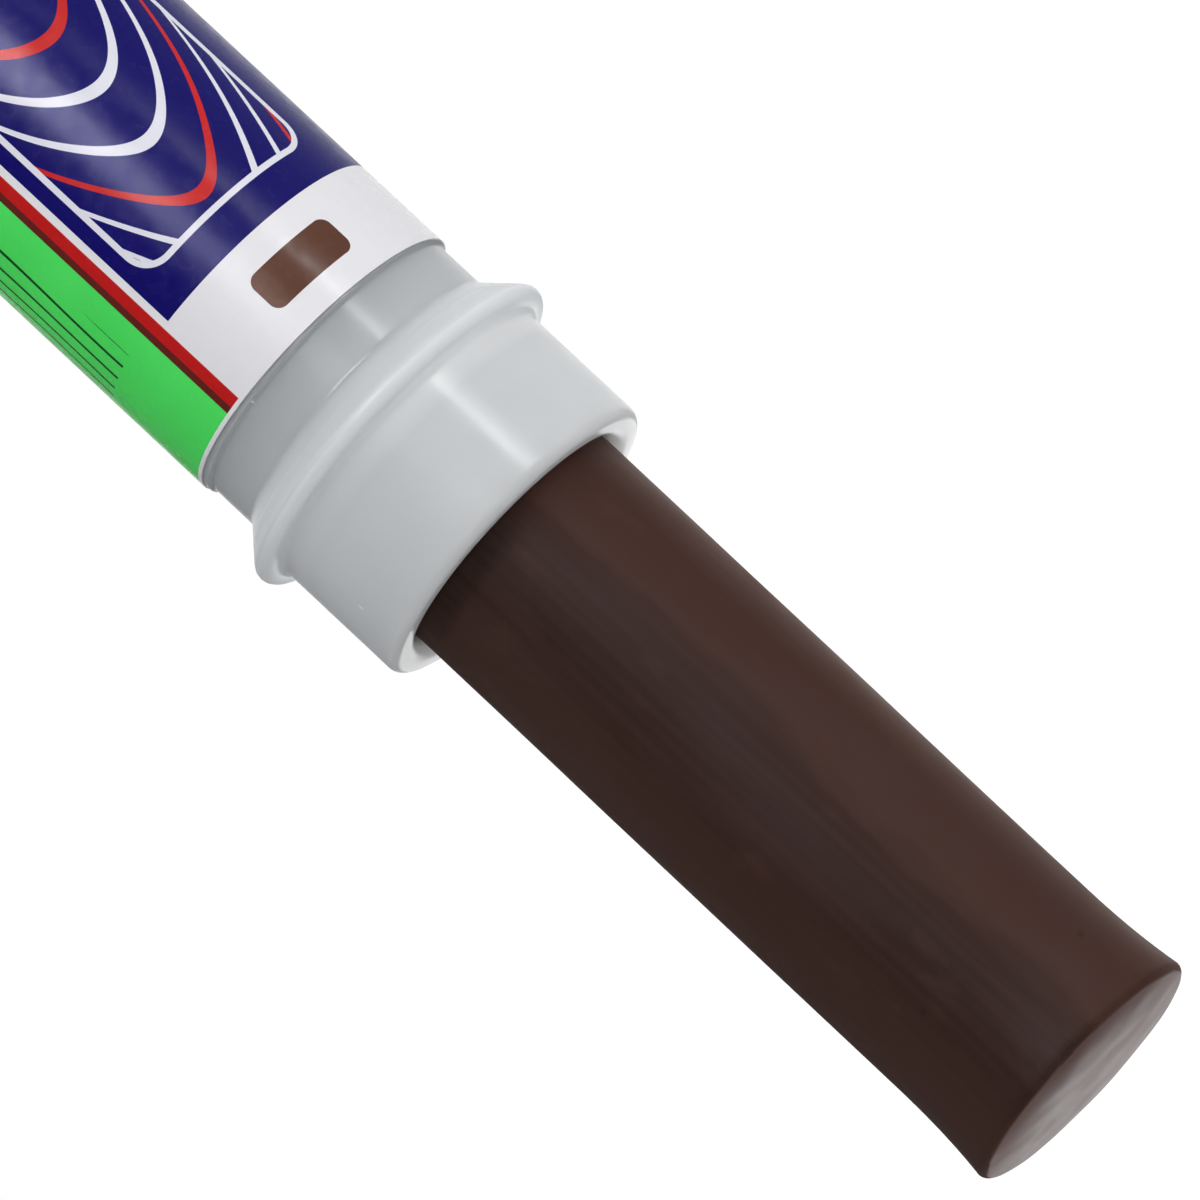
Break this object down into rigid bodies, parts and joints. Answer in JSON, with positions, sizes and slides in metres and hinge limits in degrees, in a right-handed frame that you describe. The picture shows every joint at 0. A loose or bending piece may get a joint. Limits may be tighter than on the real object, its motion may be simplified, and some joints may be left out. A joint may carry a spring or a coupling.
{
  "type": "furniture repair wax stick",
  "caption": "Twist-up stick of brown furniture filler wax: a labelled barrel with a flanged cap collar, and a ribbed knob whose lead screw winds the wax in and out.",
  "frame": {"origin": "centre of the knob's foot, on the plane that the stick stands on", "axes": "+Z along the barrel's axis towards the wax tip; -Y is the side of the label seen in the picture"},
  "size_m": [0.0294, 0.0294, 0.1513],
  "materials": {
    "barrel_plastic": "satin, slightly translucent moulded plastic",
    "label_paper": "glossy printed paper in colour bands",
    "filler_wax": "soft wax with a low sheen",
    "inner_plastic": "natural moulded plastic"
  },
  "bodies": {
    "barrel_body": {"barrel": "barrel_plastic", "label": "label_paper"},
    "knob_body": {"twist_knob": "barrel_plastic", "lead_screw": "inner_plastic"},
    "stick_body": {"wax_stick": "filler_wax", "carrier": "inner_plastic"}
  },
  "joints": [
    {"name": "knob_twist", "type": "hinge", "parent": "barrel_body", "child": "knob_body", "pos_m": [0, 0, 0.012], "axis": [0, 0, 1], "range_deg": [-3121, 121]},
    {"name": "stick_lift", "type": "slide", "parent": "barrel_body", "child": "stick_body", "axis": [0, 0, 1], "range_m": [-0.052, 0.002]}
  ],
  "couplings": [
    {"joint": "knob_twist", "follows": "stick_lift", "rad_per_m": 1047.2}
  ]
}
